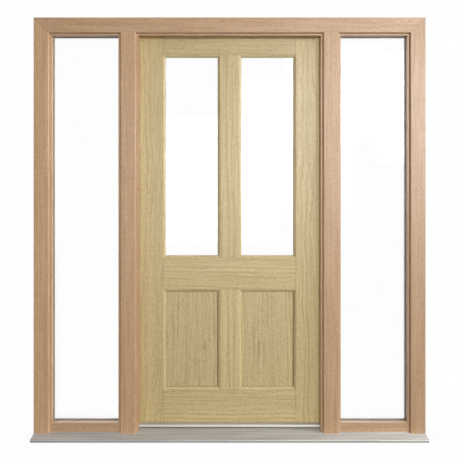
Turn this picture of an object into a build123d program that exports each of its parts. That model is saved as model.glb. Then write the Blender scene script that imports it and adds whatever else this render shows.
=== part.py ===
from build123d import *
from math import asin, cos, radians, sin
import os

os.makedirs("parts", exist_ok=True)

# Oak door set: a glazed and panelled leaf between two glazed sidelights, in one frame on a metal sill.
# Millimetres. X runs across, Y runs inwards, Z up. The origin lies on the sill's underside.

# Whole frame
overall_width = 1947.0
overall_height = 2090.0
frame_depth = 123.0
face_width = 69.0
mullion_face = 66.5
mullion_centre = 505.25

# Moulding on every inner edge of the frame: a rounded arris, a step and a flat shoulder
arris_radius = 7.5
shoulder_width = 9.0
shoulder_depth = 16.0
moulding_width = arris_radius + shoulder_width

# Sill
sill_projection = 57.0
sill_nose_height = 15.5
sill_back_height = 32.0
sill_slope_end = 45.0
sill_lip_radius = 4.5
sill_lip_turn = radians(30)
nose_round = 3.5
drip_groove_width = 6.0
drip_groove_depth = 4.0
drip_groove_setback = 9.0

# Door leaf
leaf_width = 926.0
leaf_thickness = 44.0
leaf_bottom = 37.5
leaf_height = 1977.0
leaf_gap = 5.5
lock_edge_bevel = 1.8
stile_width = 124.0
muntin_width = 95.0
top_rail_width = 92.5
lock_rail_bottom = 727.0
lock_rail_top = 886.0
bottom_rail_top = 214.5
tenon_reach = 10.0

# Moulding that runs round each opening of the leaf: a splayed step, then an ovolo down to the glass or panel
stick_width = 13.5
stick_step = 2.5
stick_splay = 2.0
stick_depth = 9.0
stick_back = 11.0
ovolo_width = stick_width - stick_splay
ovolo_fall = stick_depth - stick_step
ovolo_radius = (ovolo_width**2 + ovolo_fall**2) / (2 * ovolo_fall)

# Glass, panels and the beads that hold them
pane_thickness = 4.0
sidelight_unit = 26.0
door_unit = 20.0
panel_thickness = 18.0
glass_setback = 46.0
edge_clearance = 3.0
spacer_sight = 2.0
door_spacer_width = 4.5
sidelight_bead_depth = 25.0
sidelight_bead_width = 10.5
leaf_bead_width = 7.0
bead_gap = 0.2
bead_round = 4.0
sidelight_rail_top = 71.0

# Threshold bar between the mullions
threshold_lip = 39.0
threshold_nose = 47.8
threshold_top = 49.0
threshold_nose_run = 6.0
threshold_undercut = 9.0
threshold_round = 2.5

# Hinges
hinge_length = 100.0
hinge_heights = {"upper_hinge": 1785.0, "middle_hinge": 1030.0, "lower_hinge": 275.0}
hinge_plate = 2.5
hinge_plate_reach = 38.0
knuckle_radius = 6.0
knuckle_count = 5
knuckle_gap = 0.4
pin_radius = 3.0
pin_clearance = 0.05
pin_offset = 6.5
finial_height = 5.0
finial_rim = 1.5
finial_taper = 20.0
knuckle_root = 1.0

# Places worked out from the dimensions above
front = -frame_depth / 2
back = frame_depth / 2
half_width = overall_width / 2
shoulder = front + shoulder_depth
glass_front = front + glass_setback
head_face_bottom = overall_height - face_width
head_sight = head_face_bottom - moulding_width
jamb_inner = half_width - face_width
jamb_sight = jamb_inner - moulding_width
mullion_outer = mullion_centre + mullion_face / 2
mullion_inner = mullion_centre - mullion_face / 2
side_sight = mullion_outer + moulding_width
door_sight = mullion_inner - moulding_width
half_leaf = leaf_width / 2
door_rebate = half_leaf + leaf_gap
leaf_top = leaf_bottom + leaf_height
leaf_front = back - leaf_thickness
stop_back = leaf_front - leaf_gap
stile_edge = half_leaf - stile_width
muntin_edge = muntin_width / 2
top_rail_bottom = leaf_top - top_rail_width
sill_nose_front = front - sill_projection
sill_slope_back = front + sill_slope_end
lip_centre_depth = sill_nose_front + sill_lip_radius
lip_centre_height = sill_nose_height - sill_lip_radius
lip_heel = (
    lip_centre_depth + sill_lip_radius * cos(sill_lip_turn),
    lip_centre_height + sill_lip_radius * sin(sill_lip_turn),
)
pin_x = -(half_leaf + leaf_gap / 2)
pin_y = back + pin_offset
knuckle_length = (hinge_length - (knuckle_count - 1) * knuckle_gap) / knuckle_count


def level_plane(x):
    """Section plane of a piece that runs across: local x is depth, local y is height."""
    return Plane(origin=(x, 0, 0), x_dir=(0, 1, 0), z_dir=(1, 0, 0))


def upright_plane(z):
    """Section plane of a piece that stands: local x is depth, local y is across. It faces down."""
    return Plane(origin=(0, 0, z), x_dir=(0, 1, 0), z_dir=(0, 0, -1))


def face_plane(y):
    """Plane of an elevation: local x is across, local y is height. It faces inwards."""
    return Plane(origin=(0, y, 0), x_dir=(-1, 0, 0), z_dir=(0, 1, 0))


def strip(depths, others):
    """A rectangle in a section plane, between two depths and two widths or heights."""
    with BuildSketch() as section:
        with Locations((sum(depths) / 2, sum(others) / 2)):
            Rectangle(abs(depths[1] - depths[0]), abs(others[1] - others[0]))
    return section.sketch


def block(across, depths, heights):
    """A plain rectangular solid between three pairs of coordinates."""
    with BuildPart() as solid:
        with BuildSketch(level_plane(min(across))):
            add(strip(depths, heights))
        extrude(amount=abs(across[1] - across[0]))
    return solid.part


def frame_moulding(edge, side, rear):
    """Section beside a face edge: rounded arris, step and shoulder, running back to a rear line."""
    with BuildSketch() as section:
        with BuildLine():
            Polyline(
                (front + arris_radius, edge + side * arris_radius),
                (shoulder, edge + side * arris_radius),
                (shoulder, edge + side * moulding_width),
                (rear, edge + side * moulding_width),
                (rear, edge),
                (front, edge),
            )
            ThreePointArc(
                (front, edge),
                (
                    front + arris_radius * (1 - 0.5**0.5),
                    edge + side * arris_radius * 0.5**0.5,
                ),
                (front + arris_radius, edge + side * arris_radius),
            )
        make_face()
    return section.sketch


def sticking(edge, side):
    """Section of the leaf's moulding beside a face edge: a splayed step, an ovolo and a thin back."""
    half_turn = asin(ovolo_width / ovolo_radius) / 2
    ovolo_edge = edge + side * stick_splay
    with BuildSketch() as section:
        with BuildLine():
            Polyline(
                (leaf_front + stick_depth, edge + side * stick_width),
                (leaf_front + stick_back, edge + side * stick_width),
                (leaf_front + stick_back, edge),
                (leaf_front, edge),
                (leaf_front + stick_step, ovolo_edge),
            )
            ThreePointArc(
                (leaf_front + stick_step, ovolo_edge),
                (
                    leaf_front + stick_step + ovolo_radius * (1 - cos(half_turn)),
                    ovolo_edge + side * ovolo_radius * sin(half_turn),
                ),
                (leaf_front + stick_depth, edge + side * stick_width),
            )
        make_face()
    return section.sketch


def save(piece, name):
    """Labels a finished piece and writes its file."""
    piece.label = name
    export_step(piece, f"parts/{name}.step")


# Sill: one extrusion with a weathered top, a raised round lip along its nose and a drip groove under it
with BuildPart() as sill:
    with BuildSketch(level_plane(-half_width)):
        with BuildLine():
            Polyline(
                (sill_nose_front, lip_centre_height),
                (sill_nose_front, 0),
                (back, 0),
                (back, sill_back_height),
                (sill_slope_back, sill_back_height),
                lip_heel,
            )
            ThreePointArc(
                lip_heel,
                (lip_centre_depth, sill_nose_height),
                (sill_nose_front, lip_centre_height),
            )
        make_face()
        add(
            strip(
                (
                    sill_nose_front + drip_groove_setback,
                    sill_nose_front + drip_groove_setback + drip_groove_width,
                ),
                (0, drip_groove_depth),
            ),
            mode=Mode.SUBTRACT,
        )
    extrude(amount=overall_width)
    fillet(sill.edges().filter_by(Axis.X).group_by(Axis.Y)[0].sort_by(Axis.Z)[0], nose_round)
save(sill.part, "sill")

# Threshold: the upstand that the leaf shuts behind, with a nose that overhangs the sill
with BuildPart() as threshold:
    with BuildSketch(level_plane(-door_sight)):
        with BuildLine():
            Polyline(
                (sill_slope_back + threshold_undercut, sill_back_height),
                (stop_back, sill_back_height),
                (stop_back, threshold_top),
                (sill_slope_back + threshold_nose_run, threshold_nose),
                (sill_slope_back, threshold_lip),
                (sill_slope_back + threshold_undercut, threshold_lip),
                close=True,
            )
        make_face()
    extrude(amount=2 * door_sight)
    fillet(
        threshold.edges().filter_by(Axis.X).group_by(Axis.Z)[-2],
        threshold_round,
    )
save(threshold.part, "threshold")

# Head: one board across the top, mitred at both ends, rebated inside for the glass and the leaf
with BuildPart() as head:
    with BuildSketch(level_plane(-half_width)):
        add(strip((front, back), (head_face_bottom, overall_height)))
        add(frame_moulding(head_face_bottom, -1, back))
    extrude(amount=overall_width)
    with BuildSketch(face_plane(front)):
        with BuildLine():
            Polyline(
                (-half_width, overall_height),
                (half_width, overall_height),
                (half_width - face_width - moulding_width, head_sight),
                (-half_width + face_width + moulding_width, head_sight),
                close=True,
            )
        make_face()
    extrude(amount=frame_depth, mode=Mode.INTERSECT)
    for side in (-1, 1):
        add(
            block((side * mullion_outer, side * jamb_inner), (glass_front, back), (0, head_face_bottom)),
            mode=Mode.SUBTRACT,
        )
    add(
        block((-door_rebate, door_rebate), (stop_back, back), (0, leaf_top + leaf_gap)),
        mode=Mode.SUBTRACT,
    )
save(head.part, "head")

# Jambs: mitred to the head and scribed over the sill
with BuildPart() as right_jamb:
    with BuildSketch(upright_plane(overall_height)):
        add(strip((front, back), (jamb_inner, half_width)))
        add(frame_moulding(jamb_inner, -1, glass_front))
    extrude(amount=overall_height - sill_nose_height)
    add(head.part, mode=Mode.SUBTRACT)
    add(sill.part, mode=Mode.SUBTRACT)
save(right_jamb.part, "right_jamb")

with BuildPart() as left_jamb:
    mirror(right_jamb.part, about=Plane.YZ)
save(left_jamb.part, "left_jamb")

# Mullions: between a sidelight and the leaf, coped under the head's moulding
with BuildPart() as right_mullion:
    with BuildSketch(upright_plane(head_face_bottom)):
        add(strip((front, back), (mullion_inner, mullion_outer)))
        add(strip((stop_back, back), (door_rebate, mullion_inner)))
        add(frame_moulding(mullion_outer, 1, glass_front))
        add(frame_moulding(mullion_inner, -1, stop_back))
    extrude(amount=head_face_bottom - sill_nose_height)
    add(head.part, mode=Mode.SUBTRACT)
    add(sill.part, mode=Mode.SUBTRACT)
save(right_mullion.part, "right_mullion")

with BuildPart() as left_mullion:
    mirror(right_mullion.part, about=Plane.YZ)
    for height in hinge_heights.values():
        add(
            block(
                (-door_rebate - hinge_plate, -door_rebate),
                (back - hinge_plate_reach, back),
                (height - hinge_length / 2, height + hinge_length / 2),
            ),
            mode=Mode.SUBTRACT,
        )
save(left_mullion.part, "left_mullion")

# Bottom rails of the sidelights: level with the shoulders, rebated inside for the glass
with BuildPart() as right_sidelight_rail:
    with BuildSketch(level_plane(mullion_outer)):
        add(strip((shoulder, glass_front), (sill_nose_height, sidelight_rail_top)))
        add(strip((glass_front, back), (sill_nose_height, sidelight_rail_top - moulding_width)))
    extrude(amount=jamb_inner - mullion_outer)
    for neighbour in (right_jamb, right_mullion, sill):
        add(neighbour.part, mode=Mode.SUBTRACT)
save(right_sidelight_rail.part, "right_sidelight_rail")

with BuildPart() as left_sidelight_rail:
    mirror(right_sidelight_rail.part, about=Plane.YZ)
save(left_sidelight_rail.part, "left_sidelight_rail")


def double_glazing(across, heights, face, unit):
    """The two panes of a sealed unit, as separate solids."""
    with BuildPart() as panes:
        for near in (face, face + unit - pane_thickness):
            add(block(across, (near, near + pane_thickness), heights))
    return panes.part


def spacer(across, heights, face, unit, width):
    """The spacer bar that runs round a sealed unit between its panes."""
    inner_across = (across[0] + width, across[1] - width)
    inner_heights = (heights[0] + width, heights[1] - width)
    depths = (face + pane_thickness, face + unit - pane_thickness)
    with BuildPart() as bar:
        add(block(across, depths, heights))
        add(block(inner_across, depths, inner_heights), mode=Mode.SUBTRACT)
    return bar.part


def bead(trapezoid, depths, middle):
    """One glazing bead: a mitred strip between two depths, rounded on the room side towards the middle."""
    with BuildPart() as strip_of_wood:
        with BuildSketch(Plane(origin=(0, depths[1], 0), x_dir=(1, 0, 0), z_dir=(0, -1, 0))):
            with BuildLine():
                Polyline(*[(p.X, p.Y) for p in trapezoid], close=True)
            make_face()
        extrude(amount=depths[1] - depths[0])
        room_edges = strip_of_wood.edges().group_by(Axis.Y)[-1]
        fillet(room_edges.sort_by_distance(middle)[0], bead_round)
    return strip_of_wood.part


def beads(across, heights, depths, width):
    """Four glazing beads round an opening, mitred with a hairline gap."""
    x_low, x_high = across
    z_low, z_high = heights
    corners = ((x_low, z_low), (x_high, z_low), (x_high, z_high), (x_low, z_high))
    inner = (
        (x_low + width, z_low + width),
        (x_high - width, z_low + width),
        (x_high - width, z_high - width),
        (x_low + width, z_high - width),
    )
    middle = Vector((x_low + x_high) / 2, depths[1], (z_low + z_high) / 2)
    with BuildPart() as ring:
        for i in range(4):
            j = (i + 1) % 4
            run = Vector(*corners[j]) - Vector(*corners[i])
            shift = run.normalized() * bead_gap
            trapezoid = (
                Vector(*corners[i]) + shift,
                Vector(*corners[j]) - shift,
                Vector(*inner[j]) - shift,
                Vector(*inner[i]) + shift,
            )
            add(bead(trapezoid, depths, middle))
    return ring.part


# Sidelight glass, spacers and beads
sidelight_glass_across = (mullion_outer + edge_clearance, jamb_inner - edge_clearance)
sidelight_glass_heights = (
    sidelight_rail_top - moulding_width + edge_clearance,
    head_face_bottom - edge_clearance,
)
sidelight_spacer_width = moulding_width - edge_clearance + spacer_sight
sidelight_glass_back = glass_front + sidelight_unit

right_sidelight_glass = double_glazing(
    sidelight_glass_across, sidelight_glass_heights, glass_front, sidelight_unit
)
right_sidelight_spacer = spacer(
    sidelight_glass_across,
    sidelight_glass_heights,
    glass_front,
    sidelight_unit,
    sidelight_spacer_width,
)
right_sidelight_beads = beads(
    (mullion_outer, jamb_inner),
    (sidelight_rail_top - moulding_width, head_face_bottom),
    (sidelight_glass_back, sidelight_glass_back + sidelight_bead_depth),
    sidelight_bead_width,
)
for name, piece in (
    ("sidelight_glass", right_sidelight_glass),
    ("sidelight_spacer", right_sidelight_spacer),
    ("sidelight_beads", right_sidelight_beads),
):
    save(piece, "right_" + name)
    with BuildPart() as other_hand:
        mirror(piece, about=Plane.YZ)
    save(other_hand.part, "left_" + name)

# Stiles: full height, moulded on the inner edge, the lock edge bevelled to swing clear
with BuildPart() as hinge_stile:
    with BuildSketch(upright_plane(leaf_top)):
        add(strip((leaf_front, back), (-half_leaf, -stile_edge)))
        add(sticking(-stile_edge, 1))
    extrude(amount=leaf_height)
    for height in hinge_heights.values():
        add(
            block(
                (-half_leaf, -half_leaf + hinge_plate),
                (back - hinge_plate_reach, back),
                (height - hinge_length / 2, height + hinge_length / 2),
            ),
            mode=Mode.SUBTRACT,
        )
save(hinge_stile.part, "hinge_stile")

with BuildPart() as lock_stile:
    with BuildSketch(upright_plane(leaf_top)):
        with BuildLine():
            Polyline(
                (leaf_front, stile_edge),
                (back, stile_edge),
                (back, half_leaf),
                (leaf_front, half_leaf - lock_edge_bevel),
                close=True,
            )
        make_face()
        add(sticking(stile_edge, -1))
    extrude(amount=leaf_height)
save(lock_stile.part, "lock_stile")

# Rails: scribed over the mouldings of the stiles
rail_edges = {
    "top_rail": (top_rail_bottom, leaf_top, (-1,)),
    "lock_rail": (lock_rail_bottom, lock_rail_top, (-1, 1)),
    "bottom_rail": (leaf_bottom, bottom_rail_top, (1,)),
}
rails = {}
for name, (low, high, moulded) in rail_edges.items():
    with BuildPart() as rail:
        with BuildSketch(level_plane(-stile_edge - tenon_reach)):
            add(strip((leaf_front, back), (low, high)))
            for side in moulded:
                add(sticking(high if side > 0 else low, side))
        extrude(amount=2 * (stile_edge + tenon_reach))
        add(hinge_stile.part, mode=Mode.SUBTRACT)
        add(lock_stile.part, mode=Mode.SUBTRACT)
    save(rail.part, name)
    rails[name] = rail.part

# Muntins: scribed over the mouldings of the rails
muntin_spans = {
    "upper_muntin": (lock_rail_top, top_rail_bottom, ("lock_rail", "top_rail")),
    "lower_muntin": (bottom_rail_top, lock_rail_bottom, ("bottom_rail", "lock_rail")),
}
for name, (low, high, neighbours) in muntin_spans.items():
    with BuildPart() as muntin:
        with BuildSketch(upright_plane(high + tenon_reach)):
            add(strip((leaf_front, back), (-muntin_edge, muntin_edge)))
            for side in (-1, 1):
                add(sticking(side * muntin_edge, side))
        extrude(amount=high - low + 2 * tenon_reach)
        for neighbour in neighbours:
            add(rails[neighbour], mode=Mode.SUBTRACT)
    save(muntin.part, name)

# Glass above and panels below, with their beads on the room side
upper_heights = (lock_rail_top, top_rail_bottom)
lower_heights = (bottom_rail_top, lock_rail_bottom)
bays = {"left": (-stile_edge, -muntin_edge), "right": (muntin_edge, stile_edge)}
unit_face = leaf_front + stick_back
for hand, across in bays.items():
    pane_across = (across[0] + edge_clearance, across[1] - edge_clearance)
    pane_heights = (upper_heights[0] + edge_clearance, upper_heights[1] - edge_clearance)
    panel_heights = (lower_heights[0] + edge_clearance, lower_heights[1] - edge_clearance)
    save(double_glazing(pane_across, pane_heights, unit_face, door_unit), f"{hand}_door_glass")
    save(
        spacer(pane_across, pane_heights, unit_face, door_unit, door_spacer_width),
        f"{hand}_door_spacer",
    )
    save(
        beads(across, upper_heights, (unit_face + door_unit, back), leaf_bead_width),
        f"{hand}_glass_beads",
    )
    save(
        block(pane_across, (unit_face, unit_face + panel_thickness), panel_heights),
        f"{hand}_panel",
    )
    save(
        beads(across, lower_heights, (unit_face + panel_thickness, back), leaf_bead_width),
        f"{hand}_panel_beads",
    )


def hinge_half(centre, plate_edge, plate_side, fixed):
    """One half of a butt hinge: its plate, its knuckles and, on the fixed half, the pin."""
    low = centre - hinge_length / 2
    plate_across = (plate_edge, plate_edge + plate_side * hinge_plate)
    with BuildPart() as half:
        add(
            block(
                plate_across,
                (back - hinge_plate_reach, back - knuckle_gap),
                (low, low + hinge_length),
            )
        )
        for i in range(knuckle_count):
            if (i % 2 == 0) == fixed:
                start = low + i * (knuckle_length + knuckle_gap)
                add(block(plate_across, (back - knuckle_root, pin_y), (start, start + knuckle_length)))
                with BuildSketch(Plane.XY.offset(start)):
                    with Locations((pin_x, pin_y)):
                        Circle(knuckle_radius)
                extrude(amount=knuckle_length)
        if fixed:
            with BuildSketch(Plane.XY.offset(low)):
                with Locations((pin_x, pin_y)):
                    Circle(pin_radius)
            extrude(amount=hinge_length)
            for end, way in ((low, -1), (low + hinge_length, 1)):
                with BuildSketch(Plane.XY.offset(end)):
                    with Locations((pin_x, pin_y)):
                        Circle(pin_radius + finial_rim)
                extrude(amount=way * finial_height, taper=finial_taper)
        else:
            with BuildSketch(Plane.XY.offset(low)):
                with Locations((pin_x, pin_y)):
                    Circle(pin_radius + pin_clearance)
            extrude(amount=hinge_length, mode=Mode.SUBTRACT)
    return half.part


# Butt hinges: the frame half carries the pin, the leaf half turns on it
for name, centre in hinge_heights.items():
    save(hinge_half(centre, -door_rebate, -1, True), f"{name}_frame_half")
    save(hinge_half(centre, -half_leaf, 1, False), f"{name}_leaf_half")
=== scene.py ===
"""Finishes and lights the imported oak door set: sanded oak, brushed aluminium, clear glass and satin steel.

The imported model's frame is kept throughout: X across the set, Y from outside to inside, Z up from the underside of
the sill. Names that end in _mm are millimetres, and every other length is in metres.
"""

import logging
import math
from dataclasses import dataclass
from enum import Enum

import bmesh
import bpy
from bpy.types import ID, Material, Node, NodeSocket, NodeTree, Object
from mathutils import Matrix, Vector


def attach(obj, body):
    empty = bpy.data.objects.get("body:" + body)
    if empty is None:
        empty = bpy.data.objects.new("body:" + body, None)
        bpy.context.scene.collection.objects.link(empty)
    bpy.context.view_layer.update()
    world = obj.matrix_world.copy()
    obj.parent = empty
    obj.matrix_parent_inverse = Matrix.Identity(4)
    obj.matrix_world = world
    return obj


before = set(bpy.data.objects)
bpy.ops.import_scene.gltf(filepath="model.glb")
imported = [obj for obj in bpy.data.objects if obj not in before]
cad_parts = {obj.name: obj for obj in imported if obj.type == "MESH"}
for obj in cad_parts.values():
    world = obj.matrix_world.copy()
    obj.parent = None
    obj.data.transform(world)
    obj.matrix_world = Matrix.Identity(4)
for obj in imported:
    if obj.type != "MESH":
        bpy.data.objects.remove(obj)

LOG = logging.getLogger("door_set")
Pair = tuple[float, float]
Triple = tuple[float, float, float]
MM = 0.001
WHITE = (1.0, 1.0, 1.0, 1.0)
# The range that holds nearly all of a noise's values.
NOISE_LOW, NOISE_HIGH = 0.3, 0.7
# A hairline is drawn 4 mm wide, so that it shows in the picture: half its dark core, and half its whole width.
SEAM_CORE_MM, SEAM_EDGE_MM = 1.2, 2.8
# Words that only the names of the leaf's nodes hold.
LEAF_WORDS = ("stile", "muntin", "panel", "door", "top_rail", "lock_rail", "bottom_rail", "glass_beads", "leaf_half")
LEAF_NODES = tuple(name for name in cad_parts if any(word in name for word in LEAF_WORDS))


def linear(code: str, share: float = 1.0) -> tuple[float, float, float, float]:
    """Turns an sRGB hex colour into the linear colour that a shader takes.

    Args:
        code: six hex digits with a leading hash sign.
        share: how bright the result is against the colour itself.

    Returns:
        The linear red, green and blue by the sRGB curve, with an alpha of 1.
    """
    steps = [int(code[i : i + 2], 16) / 255 for i in (1, 3, 5)]
    red, green, blue = (s / 12.92 if s <= 0.04045 else ((s + 0.055) / 1.055) ** 2.4 for s in steps)
    return red * share, green * share, blue * share, 1.0


def add_node(tree: NodeTree, kind: str, settings: dict | None = None, inputs: dict | None = None) -> Node:
    """Adds a node to a tree, sets it up and joins it to what feeds it.

    Args:
        tree: the node tree that gets the node.
        kind: the node's type, such as ShaderNodeMath.
        settings: attribute values by name.
        inputs: by input name or number, a plain value or the socket to link from.

    Returns:
        The new node.
    """
    node = tree.nodes.new(kind)
    for name, value in (settings or {}).items():
        setattr(node, name, value)
    for name, value in (inputs or {}).items():
        if isinstance(value, NodeSocket):
            tree.links.new(value, node.inputs[name])
        else:
            node.inputs[name].default_value = value
    return node


def blank_material(title: str) -> tuple[Material, NodeTree]:
    """Makes an empty node material.

    Args:
        title: the material's name.

    Returns:
        The material and its node tree, which has nothing in it yet.
    """
    material = bpy.data.materials.new(title)
    material.use_nodes = True
    material.node_tree.nodes.clear()
    return material, material.node_tree


def paint(name: str, material: Material) -> None:
    """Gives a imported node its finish.

    Args:
        name: the node's name.
        material: the finish for every material slot of the node.
    """
    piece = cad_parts[name]
    for holder in piece.material_slots:
        holder.material = material
    LOG.info("%s: %s", name, material.name)


def dark_line(tree: NodeTree, off: NodeSocket, core_mm: float, edge_mm: float, depth: float) -> NodeSocket:
    """Draws a dark line with soft edges.

    Args:
        tree: the node tree.
        off: how far a place is from the middle of the line.
        core_mm: half the width of its dark core.
        edge_mm: half its whole width.
        depth: how dark its core is.

    Returns:
        How dark the line makes the place.
    """
    far = add_node(tree, "ShaderNodeMath", {"operation": "ABSOLUTE"}, {0: off})
    line = add_node(
        tree, "ShaderNodeMapRange",
        inputs={
            "Value": far.outputs[0], "From Min": core_mm * MM, "From Max": edge_mm * MM, "To Min": depth, "To Max": 0.0,
        },
    )
    return line.outputs[0]


def set_out(title: str, data: ID) -> Object:
    """Puts a mesh, a lamp or a camera into the scene.

    Args:
        title: the object's name.
        data: what the object holds.

    Returns:
        The object, at the origin.
    """
    thing = bpy.data.objects.new(title, data)
    bpy.context.scene.collection.objects.link(thing)
    return thing


class Grain(Enum):
    """Which way a board's grain runs, as the turn of the pattern about the depth axis in degrees."""

    LEVEL = 0.0
    UPRIGHT = -90.0


@dataclass(frozen=True)
class Knot:
    """A small sound knot that the grain flows round: its place, radius, stretch along the grain and darkness.

    Its dark eye fades between two distances, counted in radii, and is shorter than the parted grain by eye_squash. The
    grain is pushed aside by the share aside at the eye, and lies straight again at reach times fade radii.
    """

    along_mm: float
    across_mm: float
    radius_mm: float = 6.0
    stretch: float = 2.5
    darkness: float = 0.5
    eye: Pair = (0.3, 1.5)
    eye_squash: float = 1.5
    reach: float = 3.0
    fade: float = 1.6
    aside: float = 0.85


@dataclass(frozen=True)
class Seam:
    """A joint between two boards that shows as a hairline: a point on it, its normal in X and Z, and its darkness."""

    x_mm: float
    z_mm: float
    normal: Pair
    depth: float = 0.35

    def hairline(self, tree: NodeTree, place: NodeSocket) -> NodeSocket:
        """Draws the joint.

        Args:
            tree: the node tree.
            place: the Object coordinates.

        Returns:
            How dark the joint makes the board.
        """
        point = (self.x_mm * MM, 0.0, self.z_mm * MM)
        off = add_node(tree, "ShaderNodeVectorMath", {"operation": "SUBTRACT"}, {0: place, 1: point})
        normal = Vector((self.normal[0], 0.0, self.normal[1])).normalized()
        gap = add_node(tree, "ShaderNodeVectorMath", {"operation": "DOT_PRODUCT"}, {0: off.outputs[0], 1: normal})
        return dark_line(tree, gap.outputs["Value"], SEAM_CORE_MM, SEAM_EDGE_MM, self.depth)


@dataclass(frozen=True)
class OakTone:
    """The colours and gloss of one batch of oak, whose gloss changes from fibre to fibre within its spread."""

    pale: str
    deep: str
    pore: str
    roughness: float = 0.42
    gloss_spread: Pair = (-0.05, 0.06)
    coat: float = 0.15


@dataclass(frozen=True)
class Blotches:
    """Noise stretched along the grain: the size of a blotch along, through and across, its detail and strength."""

    size_mm: Triple
    detail: float
    strength: float


# Fibres are too fine to show, so bundles of them are drawn as streaks 3 mm wide. Pores are about 0.3 mm wide: single
# ones are drawn four times as wide, and groups of them as flecks nearly 3 mm wide. Clouds are a board's slow changes.
FIBRE = Blotches((300.0, 14.0, 3.0), 1.0, 1.9)
FLECK = Blotches((8.5, 6.0, 2.8), 0.0, 1.7)
CLOUD = Blotches((900.0, 70.0, 55.0), 2.0, 0.5)
PORE = Blotches((26.0, 1.3, 1.2), 1.0, 0.3)
# How strongly the growth rings show where figure is 1.
RING_STRENGTH = 1.4
# The noise above which a pore opens, in a year's late growth and in its first growth.
PORE_FLOOR = (0.64, 0.56)
# The slow wander of the grain, whose noise strays a quarter from its middle.
WANDER_SIZE_MM = (380.0, 130.0, 110.0)
WANDER_GAIN = 4
# How a board's seed shifts its wander and its blotches, and how far the place jumps past a glue line.
WANDER_SEED = (1.7, 3.1, 1.0)
BLOTCH_SEED = (1.0, 2.3, 0.7)
GLUE_JUMP_MM = (733.0, 0.0, 391.0)


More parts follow.
